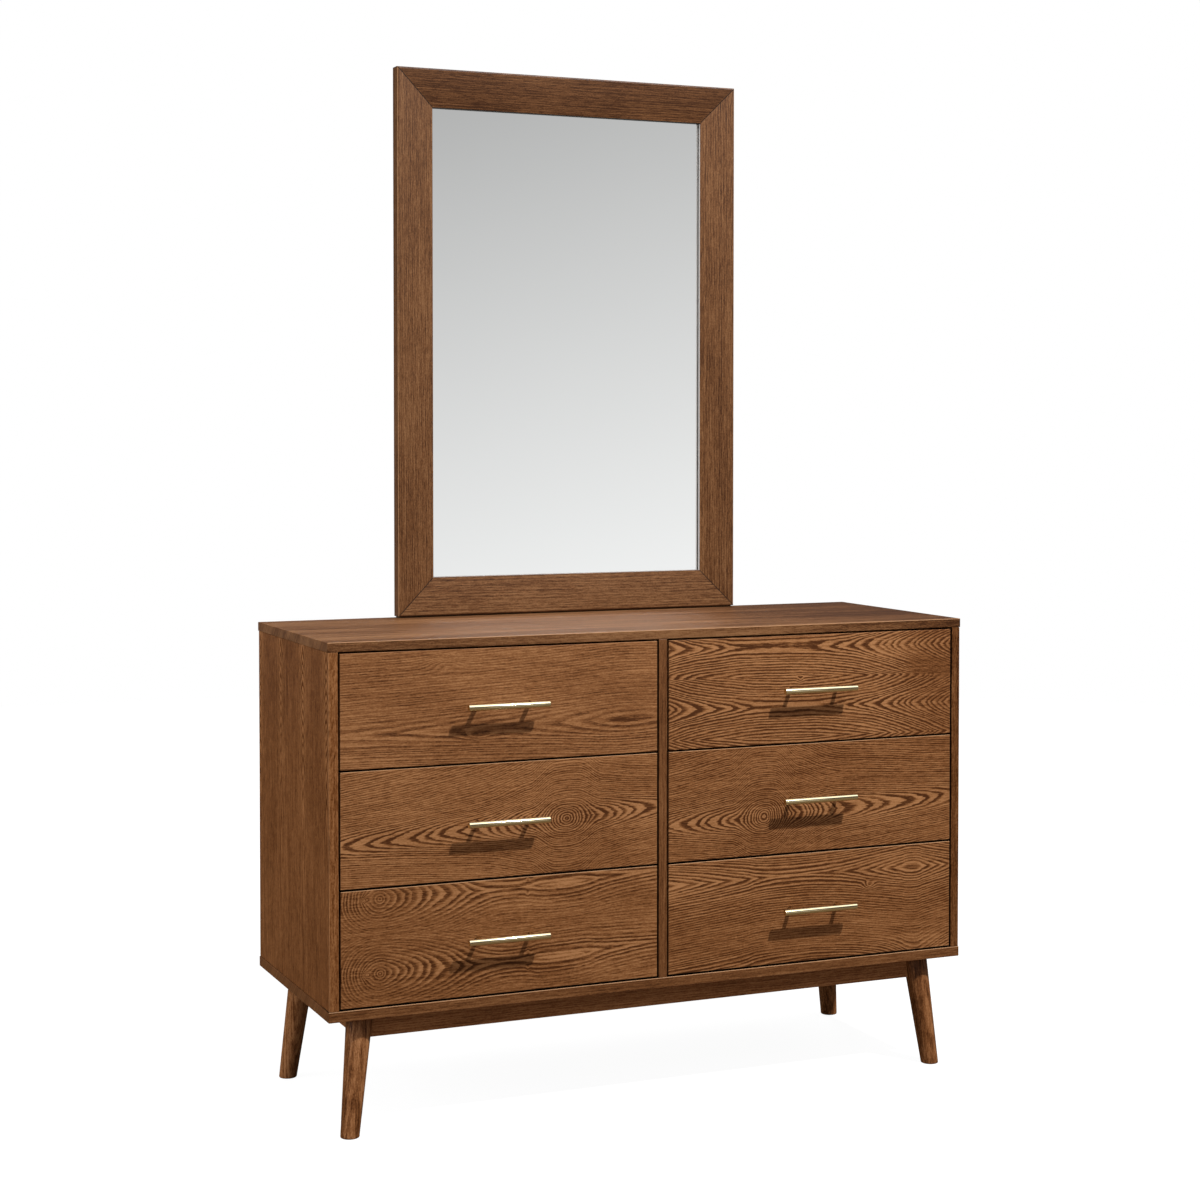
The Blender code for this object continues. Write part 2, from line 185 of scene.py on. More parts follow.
# ------------------------------------------------------------------ stained ash, one shared figure
def make_ash():
    """Grain of ring-porous wood under a brown stain. H is the distance through the growth rings at each point:
    its level lines are the grain lines. P is (along the grain, across it, depth)."""
    tree = bpy.data.node_groups.new("stained_ash", "ShaderNodeTree")
    face = tree.interface
    face.new_socket("P", in_out="INPUT", socket_type="NodeSocketVector")
    for name, value in (("H", 0.0), ("Spacing", 8.0), ("Lines", 0.6), ("Open", 0.5), ("Fibre", 0.5), ("Warp", 1.0),
                        ("Seed", 0.0), ("Tone", 0.0)):
        face.new_socket(name, in_out="INPUT", socket_type="NodeSocketFloat").default_value = value
    for name in ("Dark", "Mid", "Light"):
        face.new_socket(name, in_out="INPUT", socket_type="NodeSocketColor")
    face.new_socket("Color", in_out="OUTPUT", socket_type="NodeSocketColor")
    face.new_socket("Roughness", in_out="OUTPUT", socket_type="NodeSocketFloat")
    face.new_socket("Height", in_out="OUTPUT", socket_type="NodeSocketFloat")
    net = Net(tree)
    gi = net.new("NodeGroupInput").outputs
    go = net.new("NodeGroupOutput").inputs
    seed = Val(net, gi["Seed"])
    shift = net.xyz(seed * 137.0, seed * 71.0, seed * 53.0)
    add = net.new("ShaderNodeVectorMath", operation="ADD")
    net.put(add.inputs[0], gi["P"])
    net.put(add.inputs[1], shift)
    p = add.outputs[0]

    slow = net.noise(net.scaled(p, (0.0050, 0.022, 0.022)), 1.0, 2.0, 0.5) - 0.5
    teeth = net.noise(net.scaled(p, (0.020, 0.060, 0.060)), 1.0, 2.0, 0.5) - 0.5
    spikes = net.noise(net.scaled(p, (0.060, 0.55, 0.55)), 1.0, 0.0, 0.5) - 0.5
    h = Val(net, gi["H"]) + (slow * 8.0 + teeth * 3.2 + spikes * 1.5) * Val(net, gi["Warp"])

    x = h / Val(net, gi["Spacing"])
    x = x + (net.noise(None, 0.42, 0.0, 0.5, "1D", x + seed * 7.3) - 0.5) * 0.7
    ring = net.m("FLOOR", x)
    f = x - ring
    r1 = net.white(ring + seed * 17.3 + 0.5)
    r2 = net.white(ring * 1.7 + seed * 5.1 + 9.5)
    width = 0.84 - Val(net, gi["Open"]) * 0.42 + (r2 - 0.5) * 0.16
    body = net.span(f, width, 0.20)
    lead = net.span(f, 0.90, 1.0)
    line = net.m("MAXIMUM", body, lead)
    patch = net.noise(net.scaled(p, (0.010, 0.030, 0.030)), 1.0, 2.0, 0.5)
    line = line * (r1 * 0.35 + 0.72) * net.span(patch, 0.28, 0.60, 0.70, 1.12)

    # short dark dashes: open pores, thickest where the dark lines are
    pore = net.noise(net.scaled(p, (0.055, 0.60, 0.60)), 1.0, 1.0, 0.6)
    dash = net.span(pore, 0.46, 0.58)
    # long fibres at every scale
    fibre = net.noise(net.scaled(p, (0.0070, 0.25, 0.25)), 1.0, 4.0, 0.78) - 0.5
    hair = net.noise(net.scaled(p, (0.30, 0.62, 0.62)), 1.0, 0.0, 0.5) - 0.5
    cloud = net.noise(net.scaled(p, (0.0045, 0.011, 0.011)), 1.0, 2.0, 0.5) - 0.5

    lines = Val(net, gi["Lines"])
    ink = line * lines * (dash * 0.30 + 0.87)
    tone = 0.49 + Val(net, gi["Tone"]) + lines * (r2 * 0.16 + 0.34) - ink
    tone = tone + (fibre * 2.2 + hair * 0.9 - (dash - 0.45) * 0.36) * Val(net, gi["Fibre"]) + cloud * 0.42
    tone = net.clamp01(tone)
    low = net.mix(net.m("MULTIPLY", tone, 2.0, clamp=True), gi["Dark"], gi["Mid"])
    colour = net.mix(net.m("SUBTRACT", tone * 2.0, 1.0, clamp=True), low, gi["Light"])
    net.put(go["Color"], colour)
    net.put(go["Roughness"], ink * 0.16 + 0.40 - fibre * 0.10)
    net.put(go["Height"], -(ink * 0.7 + dash * 0.35 * Val(net, gi["Fibre"])) + hair * 0.2)
    return tree


ASH = make_ash()

# colours, linear: a near-black for painted shade in the gaps and for the dark mitre joints, a pale one for painted
# highlights on arrises, then the three stain colours
PAINTED_SHADE_AND_JOINT_DARK, PAINTED_HIGHLIGHT = (0.010, 0.005, 0.0025, 1.0), (0.36, 0.195, 0.095, 1.0)
DARK, MID, LIGHT = (0.052, 0.0150, 0.0022, 1.0), (0.170, 0.0665, 0.0220, 1.0), (0.322, 0.1530, 0.0630, 1.0)


def wood(name, field, along, across, depth=None, spacing=8.0, lines=0.5, opening=0.5, fibre=0.5, warp=1.0, seed=1.0,
         tone=0.0, colours=(DARK, MID, LIGHT), rough_shift=0.0, bump=0.22, over=(), gloss=0.20):
    """One stained wood material. field(net, u, v, X, Y, Z) gives the ring distance, with the line contrast and how
    wide the pale wood stands between the lines if they vary, and a tone. over is pairs of place and colour."""
    mat = bpy.data.materials.new(name)
    mat.use_nodes = True
    net = Net(mat.node_tree)
    net.t.nodes.clear()
    X, Y, Z = net.place()
    u, v = along(X, Y, Z), across(X, Y, Z)
    w = depth(X, Y, Z) if depth else 0.0
    h = field(net, u, v, X, Y, Z)
    if callable(tone):
        tone = tone(net, X, Y, Z)
    if isinstance(h, tuple):
        if len(h) > 3:
            tone = h[3] + tone
        h, lines, opening = h[:3]
    g = net.new("ShaderNodeGroup", node_tree=ASH)
    net.put(g.inputs["P"], net.xyz(u, v, w))
    net.put(g.inputs["H"], h)
    for k, value in (("Spacing", spacing), ("Lines", lines), ("Open", opening), ("Fibre", fibre), ("Warp", warp), ("Seed", seed),
                     ("Tone", tone), ("Dark", colours[0]), ("Mid", colours[1]), ("Light", colours[2])):
        net.put(g.inputs[k], value)
    colour = g.outputs["Color"]
    for where, shade in over:
        colour = net.mix(where(net, X, Y, Z), colour, shade)
    bsdf = net.new("ShaderNodeBsdfPrincipled")
    out = net.new("ShaderNodeOutputMaterial")
    net.put(bsdf.inputs["Base Color"], colour)
    net.put(bsdf.inputs["Roughness"], Val(net, g.outputs["Roughness"]) + rough_shift)
    bsdf.inputs["IOR"].default_value = 1.46
    bsdf.inputs["Specular IOR Level"].default_value = gloss
    b = net.new("ShaderNodeBump")
    b.inputs["Strength"].default_value = bump
    b.inputs["Distance"].default_value = 0.0003
    net.put(b.inputs["Height"], g.outputs["Height"])
    net.put(bsdf.inputs["Normal"], b.outputs[0])
    net.put(out.inputs[0], bsdf.outputs[0])
    return mat


def soft_abs(net, a, e):
    return net.m("SQRT", a * a + e * e) - e


# ---- the six drawer fronts: u from the drawer's middle to the right, v from its middle up
COLUMN_X = {"left": -300.0, "right": 300.0}
ROW_Z = {"bottom": 322.1, "middle": 521.15, "top": 719.05}


def oval(net, a, g, w):
    """Ring distance from the two halves of a leaf's figure: w = 1 gives round rings, w = 0 pointed ones."""
    return net.m("SQRT", a * a + g * g) * w + (a + g) * (1.0 - w)


def sides(net, d, left, right):
    """Ring distance along an axis from the middle of a figure, where it starts as a straight slope on both sides."""
    return (net.curve(net.m("MAXIMUM", -d, 0.0), ((0, 0),) + left)
            + net.curve(net.m("MAXIMUM", d, 0.0), ((0, 0),) + right))


def grain_top_right(net, u, v, X, Y, Z):
    """Bold, leaf-matched cathedrals that meet in long ovals."""
    vv = v + u * 0.02
    t = net.m("PINGPONG", vv + 32.0, 54.0)
    upper = net.span(vv, 14.0, 32.0)
    middle = net.hump(u, 0.0, -30.0, 0.0, 115.0, 1.0)
    us = u + upper * 26.0
    a = net.curve(us, ((-300, -52), (-274, -40), (-257, -32), (-235, -24), (-208, -16), (-165, -8), (-120, -1),
                       (-40, 0), (20, -2), (70, -8), (112, -16), (138, -24), (157, -32), (174, -40), (191, -48),
                       (206, -56), (221, -64), (236, -72), (248, -80), (320, -124)))
    g = net.curve(t, ((0, 0), (6, 4.0), (14, 13.0), (24, 29), (34, 46), (44, 61), (54, 76)))
    g = g - net.span(t, 30.0, 0.0) * net.span(t, 0.0, 14.0) * upper * middle * 7.0
    knot = net.hump(u, v, -27.0, 18.0, 6.0, 8.0) * 7.0
    calm = net.hump(u, v, 222.0, 34.0, 30.0, 22.0) + net.hump(u, v, 268.0, 24.0, 26.0, 20.0)
    near = net.m("EXPONENT", -(t * t) * (1.0 / 420.0))
    right = net.span(u, 150.0, 260.0)
    return (a + g + knot, net.span(calm, 0.15, 0.8, 0.96, 0.25) * (1.0 - right * 0.32), middle * 0.36 + near * 0.22 + 0.34,
            near * 0.07 - calm * 0.08 - right * 0.06 - 0.02)


def grain_eye(net, du, v, v0, slope, left, right):
    """A bull's-eye with arrowheads to both sides; du is measured from the eye, the lists give the rings along it."""
    t = net.m("ABSOLUTE", v - v0 - du * slope)
    a = sides(net, du, left, right)
    far = net.m("ABSOLUTE", du)
    out = net.span(far, 28.0, 80.0)
    g0 = net.curve(t, ((0, 0), (8, 13.5), (16, 30.0), (26, 53.0), (38, 82.0), (52, 114.0), (130, 270.0)))
    g1 = net.curve(t, ((0, 0), (8, 4.0), (16, 13.0), (23, 27.0), (31, 46.0), (42, 72.0), (56, 104.0), (130, 252.0)))
    g = g0 * (1.0 - out) + g1 * out
    near = net.m("EXPONENT", -(t * t) * (1.0 / 760.0))
    return oval(net, a, g, net.span(far, 22.0, 70.0, 1.0, 0.0)), near, near * net.span(far, 30.0, 110.0)


def grain_middle_right(net, u, v, X, Y, Z):
    h, near, wide = grain_eye(net, u + 100.0, v, -28.0, 0.033,
                              ((33, 48), (42, 56), (53, 64), (69, 72), (88, 80), (110, 88), (130, 96), (152, 104), (200, 118)),
                              ((50, 80), (80, 106), (150, 160), (200, 171), (290, 190), (400, 212)))
    return h, near * 0.40 + 0.58, wide * 0.6 + 0.25, net.hump(u, v, -115.0, -27.0, 80.0, 34.0) * -0.09


def grain_middle_left(net, u, v, X, Y, Z):
    h, near, wide = grain_eye(net, 117.0 - u, v, -5.0, -0.052,
                              ((40, 52), (63, 68), (100, 84), (143, 98), (180, 108)),
                              ((50, 60), (100, 94), (147, 120), (220, 142), (294, 164), (420, 190)))
    return h, near * 0.46 + 0.50, wide * 0.6 + 0.25, net.hump(u, v, 130.0, -3.0, 80.0, 30.0) * -0.09


def grain_bottom_left(net, u, v, X, Y, Z):
    """Two matched leaves, each with a ringed knot at the left and a pale tongue right of the middle."""
    rise = net.span(u, 80.0, 289.0, 0.0, 16.0)
    t = net.m("PINGPONG", v + 44.0 - rise * 0.6, 62.5)
    a = sides(net, u + 221.0, ((5.7, 8), (64, 90), (80, 112)),
              ((6, 8), (11, 16), (21, 24), (32, 32), (47, 40), (62, 48), (77, 56), (96, 64), (122, 72), (145, 80),
               (175, 88), (225, 93), (262, 91), (290, 85.5), (335, 84.5), (372, 86), (400, 92), (440, 97),
               (520, 104)))
    g = net.curve(t, ((0, 0), (10, 16), (42, 67), (52, 86), (62.5, 108)))
    mate = (net.hump(u, v, -245.0, -44.0, 6.0, 5.0) + net.hump(u, v, -245.0, 82.0, 6.0, 5.0)) * 22.0
    notch = net.hump(u, t, 44.0, 13.0, 3.0, 7.0) * 4.0
    near = net.m("EXPONENT", -(t * t) * (1.0 / 1000.0))
    left = net.span(u, -245.0, -120.0, 0.34, 0.52)
    tongue = net.hump(u, t, 112.0, 0.0, 52.0, 8.0)
    rim = net.hump(u, t, 100.0, 15.0, 90.0, 5.0)
    return (oval(net, a, g, net.span(u, -150.0, 20.0, 1.0, 0.35)) - mate - notch, (near * left + 0.25) * (1.0 - tongue * 0.8),
            net.span(u, -200.0, -90.0, 0.05, 0.55) * near, tongue * 0.42 - rim * 0.22 - net.hump(u, t, -221.0, 0.0, 70.0, 40.0) * 0.07)


def grain_top_left(net, u, v, X, Y, Z):
    """Quiet, near-straight grain, a small swirl at the top and nested ovals at the lower right."""
    t = net.m("ABSOLUTE", v + 38.0 - u * 0.01)
    a = net.curve(u, ((-300, 46), (-200, 41), (-100, 34), (0, 26), (60, 20.5), (99, 16), (154, 8), (200, 1.5),
                      (235, 0), (300, 4)))
    g = net.curve(t, ((0, 0), (10, 6), (20, 15), (35, 40), (80, 120), (140, 226)))
    swirl = net.hump(u, v, -104.0, 74.0, 30.0, 12.0) * 24.0
    spot = net.hump(u, v, -91.0, 87.0, 6.0, 5.0) * 16.0
    swirl2 = net.hump(u, v, -45.0, -50.0, 26.0, 8.0) * 12.0
    band = net.hump(u, v, -190.0, -50.0, 120.0, 9.0)
    blot = net.hump(u, v, 222.0, -38.0, 30.0, 5.0)
    return a + g - swirl + spot - swirl2, net.span(v, -50.0, 0.0, 0.46, 0.29), 0.42, band * 0.10 - blot * 0.22 + 0.01


def grain_bottom_right(net, u, v, X, Y, Z):
    """Arrowheads from the left, an eye at the right, fine grain below, a second arch along the lower edge."""
    t = net.m("ABSOLUTE", v - 60.0 + net.span(u, -100.0, 289.0, 0.0, 4.0))
    a = net.curve(u, ((-300, -1), (-255, 8), (-210, 16), (-172, 24), (-134, 32), (-115, 38), (-80, 42), (-20, 43),
                      (30, 40), (80, 32), (112, 24), (140, 17), (158, 12), (185, 5), (210, 0), (230, 6), (248, 13),
                      (278, 24), (300, 32)))
    g = net.curve(t, ((0, 0), (8, 8), (20, 24), (34, 48), (50, 76), (77, 124), (160, 280)))
    swirl = net.hump(u, v, 117.0, 28.0, 12.0, 8.0) * 18.0
    arch = net.hump(u, v, 225.0, -104.0, 60.0, 32.0) * 34.0
    arch2 = net.hump(u, v, -120.0, -112.0, 150.0, 26.0) * 22.0
    near = net.m("EXPONENT", -(t * t) * (1.0 / 2600.0))
    low = net.span(v, -66.0, -84.0)
    return a + g - swirl - arch - arch2, near * 0.46 + 0.44 + low * 0.34, near * 0.25 + 0.28


FRONT_GRAIN = {"top_left": (grain_top_left, 3.0, 0.035, 0.62), "top_right": (grain_top_right, 5.0, -0.08, 1.45),
               "middle_left": (grain_middle_left, 7.3, 0.03, 1.6), "middle_right": (grain_middle_right, 9.0, -0.07, 1.6),
               "bottom_left": (grain_bottom_left, 11.0, 0.01, 1.05), "bottom_right": (grain_bottom_right, 13.0, -0.05, 1.0)}


def front_material(label):
    row, column = label.split("_")
    grain, seed, tone, warp = FRONT_GRAIN[label]
    x0, z0 = COLUMN_X[column], ROW_Z[row]

    # painted highlight along the front's top arris, where it catches the light
    def upper_arris_highlight(net, X, Y, Z):
        return net.span(Z - z0, 96.8, 97.3) * net.span(Y, -212.3, -212.6) * 0.8

    # painted shade on the front's edge faces, a band along its lower arris and its right end, so the gaps around it
    # fall dark
    def painted_gap_shade(net, X, Y, Z):
        ex = net.m("ABSOLUTE", X - x0)
        ez = net.m("ABSOLUTE", Z - z0)
        facing = net.span(X - x0, -1.0, 1.0, 0.30, 1.0)
        behind = net.m("MAXIMUM", net.span(ex, 288.4, 288.7) * facing, net.span(ez, 97.6, 97.8)) * net.span(Y, -212.7, -212.4)
        low = net.span(Z - z0, -96.8, -97.2)
        end = net.span(X - x0, 288.0, 288.5)
        return net.m("MAXIMUM", behind, net.m("MAXIMUM", low, end)) * 0.96
    return wood("ash_front_" + label, grain, lambda X, Y, Z: X - x0, lambda X, Y, Z: Z - z0 + Y + 213.15,
                spacing=8.0, fibre=0.48, warp=warp, seed=seed, tone=tone, gloss=0.22 if label == "top_left" else 0.17,
                over=((painted_gap_shade, PAINTED_SHADE_AND_JOINT_DARK), (upper_arris_highlight, PAINTED_HIGHLIGHT)))


def straight(pitch_v=1.0, drift=0.0):
    """Quarter-cut grain: the rings lie side by side along the board."""
    def field(net, u, v, X, Y, Z):
        return v * pitch_v + u * drift
    return field


def grain_side(net, u, v, X, Y, Z):
    """Three matched leaves side by side, small arrowheads near the top and plain streaks below."""
    t = net.m("PINGPONG", v + 60.0, 70.0)
    a = net.curve(u, ((200, 0), (520, 10), (600, 26), (680, 54), (760, 92), (830, 120)))
    g = net.curve(soft_abs(net, t, 2.0), ((0, 0), (10, 9), (20, 24), (35, 62), (70, 175)))
    near = net.m("EXPONENT", -(t * t) * (1.0 / 700.0))
    lines = net.span(u, 430.0, 680.0, 0.06, 0.62) * near + 0.20
    face = net.span(Y, -213.0, -212.3) * net.span(Y, 229.7, 229.0)
    tone = (near - 0.35) * net.span(u, 350.0, 650.0, 0.02, 0.12) * face + (1.0 - face) * net.span(X, 0.0, -10.0) * 0.12
    return a + g, lines * face + (1.0 - face) * 0.14, 0.4, tone


def grain_top(net, u, v, X, Y, Z):
    """Fine straight grain with a few arrowheads toward the right end."""
    t = soft_abs(net, v - 30.0, 3.0)
    a = net.curve(u, ((150, 0), (260, 22), (360, 70), (480, 130), (620, 190)))
    g = net.curve(t, ((0, 0), (10, 9), (30, 44), (120, 220), (400, 780)))
    lines = net.span(u, 120.0, 300.0, 0.16, 0.34)
    return a + g, lines, 0.4


def grain_turned(net, u, v, X, Y, Z):
    """Solid wood: the growth rings are cylinders about a far pith, cut by the turning."""
    ax = net.m("ABSOLUTE", X) - 610.0
    ay = net.m("ABSOLUTE", Y) - 150.0
    px, py = ax * 0.9 + ay * 0.45, ay * 0.9 - ax * 0.45
    return net.m("SQRT", (px + 74.0) * (px + 74.0) + (py + 34.0) * (py + 34.0)) + Z * 0.03


ZED, EX = (lambda X, Y, Z: Z), (lambda X, Y, Z: X)


def tint(r, g, b):
    return tuple((c[0] * r, c[1] * g, c[2] * b, 1.0) for c in (DARK, MID, LIGHT))


CASE_TINT = tint(0.70, 0.68, 0.66)
TOP_TINT = tint(0.62, 0.62, 0.62)
SIDE_TINT = tint(0.83, 0.77, 0.71)
FAR_SIDE_TINT = tint(0.66, 0.63, 0.60)
FRAME_TINT = tint(0.64, 0.66, 0.68)
LEG_TINT = tint(1.06, 1.04, 1.06)



def mouth(net, Y):
    """The first centimetres behind the front edge, inside the case, where painted shade darkens the gaps."""
    return net.span(Y, -212.5, -212.2) * net.span(Y, -150.0, -185.0) * 0.92


# Painted shade: the faces just inside the mouth (under the top, on the bottom panel, inside the sides, on the divider)
# are darkened. Painted highlight: the front arrises of the top, the bottom panel and the sides are lightened.
def top_under_painted_shade(net, X, Y, Z): return net.span(Z, 819.3, 819.1) * mouth(net, Y)
def top_arris_highlight(net, X, Y, Z): return net.span(Z, 833.9, 834.4) * net.span(Y, -211.9, -212.4) * 0.75
def base_upper_painted_shade(net, X, Y, Z): return net.span(Z, 220.7, 220.9) * mouth(net, Y)
def base_arris_highlight(net, X, Y, Z): return net.span(Z, 219.6, 220.3) * net.span(Y, -211.9, -212.4) * 0.8
def side_inner_painted_shade(net, X, Y, Z): return net.span(net.m("ABSOLUTE", X), 592.3, 592.1) * mouth(net, Y)
def side_arris_highlight(net, X, Y, Z): return net.span(net.m("ABSOLUTE", X), 607.3, 607.8) * net.span(Y, -211.9, -212.4) * 0.35
def divider_painted_shade(net, X, Y, Z): return net.span(net.m("ABSOLUTE", X), 7.7, 7.9) * mouth(net, Y)


def streaks(net, X, Y, Z):
    broad = net.noise(net.scaled(net.xyz(X, Y, Z), (0.0013, 0.012, 0.012)), 1.0, 1.0, 0.5) - 0.5
    narrow = net.noise(net.scaled(net.xyz(X, Y, Z), (0.0024, 0.042, 0.042)), 1.0, 2.0, 0.6) - 0.5
    return broad * 1.05 + narrow * 1.15 + net.span(Y, -212.9, -213.1) * -0.02


# the curve over X lowers the tone toward the right end: painted shade where no sheen falls on the top
def paler_left(net, X, Y, Z):
    return streaks(net, X, Y, Z) + net.curve(X, ((-610, 0.14), (-50, 0.12), (150, 0.04), (300, -0.10), (450, -0.26),
                                                (610, -0.38)))


ash_top = wood("ash_top", grain_top, EX, lambda X, Y, Z: Y + Z - 835.0, spacing=6.0, fibre=0.75, seed=21.0, warp=1.1,
               tone=paler_left, colours=TOP_TINT, over=((top_under_painted_shade, PAINTED_SHADE_AND_JOINT_DARK), (top_arris_highlight, PAINTED_HIGHLIGHT)))
ash_base = wood("ash_base", straight(), EX, lambda X, Y, Z: Y + Z, spacing=5.0, lines=0.18, fibre=0.55, seed=23.0,
                tone=-0.02, colours=CASE_TINT, over=((base_upper_painted_shade, PAINTED_SHADE_AND_JOINT_DARK), (base_arris_highlight, PAINTED_HIGHLIGHT)))
ash_side = {s: wood("ash_side_" + s, grain_side, ZED, lambda X, Y, Z, k=k: Y + (X - k) * 1.0, spacing=8.0, fibre=0.66,
                    seed=25.0 + k * 0.001, warp=0.8, tone=tone, colours=tints, gloss=0.06,
                    over=((side_inner_painted_shade, PAINTED_SHADE_AND_JOINT_DARK), (side_arris_highlight, PAINTED_HIGHLIGHT)))
            for s, k, tone, tints in (("left", -608.5, -0.02, SIDE_TINT), ("right", 608.5, -0.12, FAR_SIDE_TINT))}
ash_divider = wood("ash_divider", straight(), ZED, lambda X, Y, Z: Y + X, spacing=5.0, lines=0.16, fibre=0.5,
                   seed=29.0, tone=-0.02, colours=CASE_TINT, over=((divider_painted_shade, PAINTED_SHADE_AND_JOINT_DARK),))
ash_rail = wood("ash_back_rail", straight(), EX, lambda X, Y, Z: Z + Y, spacing=6.0, lines=0.22, fibre=0.5, seed=31.0,
                tone=-0.02, colours=CASE_TINT)
ash_batten = {s: wood("ash_batten_" + s, straight(), ZED, lambda X, Y, Z: X + Y, spacing=6.0, lines=0.25, fibre=0.5,
                      seed=33.0 + k, tone=0.0, colours=CASE_TINT) for s, k in (("left", 0), ("right", 1))}


def mitres(net, X, Y, Z):
    across = 348.8 - net.m("ABSOLUTE", X)
    a = net.m("ABSOLUTE", across - (1858.4 - Z))
    b = net.m("ABSOLUTE", across - (Z - 837.6))
    return net.span(net.m("MINIMUM", a, b), 1.5, 0.9) * 0.85


# painted highlight along the frame's outer arris
def frame_arris_highlight(net, X, Y, Z):
    return net.span(net.m("ABSOLUTE", X), 347.3, 347.9) * net.span(Y, 206.2, 205.4) * 0.8


# the inner lip faces of the frame
def lip_face(net, X, Y, Z):
    inside = net.span(net.m("ABSOLUTE", X), 277.6, 277.3) * net.span(net.m("ABSOLUTE", Z - 1348.0), 439.2, 438.9)
    return inside * net.span(Y, 212.0, 212.4)


# painted shadow: a dark line where the lip meets the glass
def lip_painted_shadow(net, X, Y, Z):
    return lip_face(net, X, Y, Z) * net.m("MAXIMUM", net.span(Y, 217.8, 218.1), net.span(Z, 1785.0, 1786.0))


def frame_over(side):
    # the pale grey on the right rail's lip is a painted highlight; the lips of the other rails get a darker grey
    pale = (0.62, 0.60, 0.585, 1.0) if side == "right" else (0.24, 0.21, 0.19, 1.0)
    return ((mitres, PAINTED_SHADE_AND_JOINT_DARK), (frame_arris_highlight, PAINTED_HIGHLIGHT), (lip_face, pale), (lip_painted_shadow, (0.02, 0.018, 0.018, 1.0)))


ash_frame = {}
for side, k, tone in (("left", 41.0, 0.0), ("right", 42.0, -0.02)):
    ash_frame[side] = wood("ash_frame_" + side, straight(1.0, 0.004), ZED, lambda X, Y, Z: X + Y, spacing=4.6,
                           lines=0.24, fibre=0.60, seed=k, tone=tone, colours=FRAME_TINT,
                           over=frame_over(side))
# the top rail's tone of -0.26 is painted shade on the downward-tilted top rail; the bottom rail is set a little
# lighter
for side, k, tone in (("top", 43.0, -0.26), ("bottom", 44.0, 0.03)):
    ash_frame[side] = wood("ash_frame_" + side, straight(1.0, 0.004), EX, lambda X, Y, Z: Z - Y, spacing=4.6,
                           lines=0.24, fibre=0.60, seed=k, tone=tone, colours=FRAME_TINT,
                           over=frame_over(side))


def blotched(level):
    def tone(net, X, Y, Z):
        n = net.noise(net.scaled(net.xyz(X, Y, Z), (0.045, 0.045, 0.016)), 1.0, 2.0, 0.6)
        return net.span(n, 0.62, 0.42, -0.26, 0.05) + level
    return tone


# per-leg levels: the front right leg's lower level is painted shade; the back left leg is set lighter
ash_leg = {s: wood("ash_leg_" + s, grain_turned, ZED, lambda X, Y, Z: X, depth=lambda X, Y, Z: Y, spacing=4.2, lines=0.30,
                   fibre=0.6, seed=k, warp=0.5, tone=blotched(tone), colours=LEG_TINT)
           for s, k, tone in (("front_left", 51.0, 0.03), ("front_right", 51.4, -0.10), ("back_left", 51.7, 0.16),
                              ("back_right", 51.9, 0.0))}
ash_apron = {s: wood("ash_apron_" + s, straight(), EX if s == "long" else (lambda X, Y, Z: Y),
                     (lambda X, Y, Z: Z + Y) if s == "long" else (lambda X, Y, Z: Z + X),
                     spacing=4.5, lines=0.20, fibre=0.5, seed=k, tone=0.14, colours=tint(1.32, 1.30, 1.34))
             for s, k in (("long", 53.0), ("short", 54.0))}

# pale unfinished hardwood of the drawer boxes, and thin birch boards for their bottoms
PALE = ((0.30, 0.185, 0.095, 1.0), (0.46, 0.315, 0.175, 1.0), (0.60, 0.44, 0.27, 1.0))
BIRCH = ((0.40, 0.27, 0.155, 1.0), (0.56, 0.41, 0.25, 1.0), (0.66, 0.51, 0.33, 1.0))
box_wood = {s: wood("box_wood_" + s, straight(0.9), EX if s == "x" else (lambda X, Y, Z: Y),
                    (lambda X, Y, Z: Z + Y) if s == "x" else (lambda X, Y, Z: Z + X), spacing=7.0, lines=0.25,
                    fibre=0.42, seed=k, tone=0.0, colours=PALE, rough_shift=0.12)
            for s, k in (("x", 61.0), ("y", 62.0))}
box_ply = wood("box_ply", straight(1.0, 0.012), EX, lambda X, Y, Z: Y + Z, spacing=15.0, lines=0.18, fibre=0.35, seed=63.0,
               colours=BIRCH, rough_shift=0.2)


def plain(name, base, rough, metallic=0.0, coat=0.0, fleck=0.0, fleck_scale=(0.3, 0.3, 0.3), brushed=None, bump=0.0,
          dark=None, ior=1.46):
    """A finish that varies by noise only: colour between base and dark, and a little in its roughness."""
    mat = bpy.data.materials.new(name)
    mat.use_nodes = True
    net = Net(mat.node_tree)
    net.t.nodes.clear()
    X, Y, Z = net.place()
    n = net.noise(net.scaled(net.xyz(X, Y, Z), fleck_scale), 1.0, 3.0, 0.6)
    f = net.span(n, 0.3, 0.7)
    bsdf = net.new("ShaderNodeBsdfPrincipled")
    out = net.new("ShaderNodeOutputMaterial")
    other = dark or tuple(c * (1.0 - fleck) for c in base[:3]) + (1.0,)
    net.put(bsdf.inputs["Base Color"], net.mix(f, base, other))
    r = net.noise(net.scaled(net.xyz(X, Y, Z), brushed or (0.05, 0.05, 0.05)), 1.0, 2.0, 0.5) - 0.5
    net.put(bsdf.inputs["Roughness"], r * (0.30 if brushed else 0.10) * rough + rough)
    bsdf.inputs["Metallic"].default_value = metallic
    bsdf.inputs["IOR"].default_value = ior
    bsdf.inputs["Coat Weight"].default_value = coat
    bsdf.inputs["Coat Roughness"].default_value = 0.1
    if bump:
        b = net.new("ShaderNodeBump")
        b.inputs["Strength"].default_value = bump
        b.inputs["Distance"].default_value = 0.0001
        net.put(b.inputs["Height"], r if brushed else n)
        net.put(bsdf.inputs["Normal"], b.outputs[0])
    net.put(out.inputs[0], bsdf.outputs[0])
    return mat


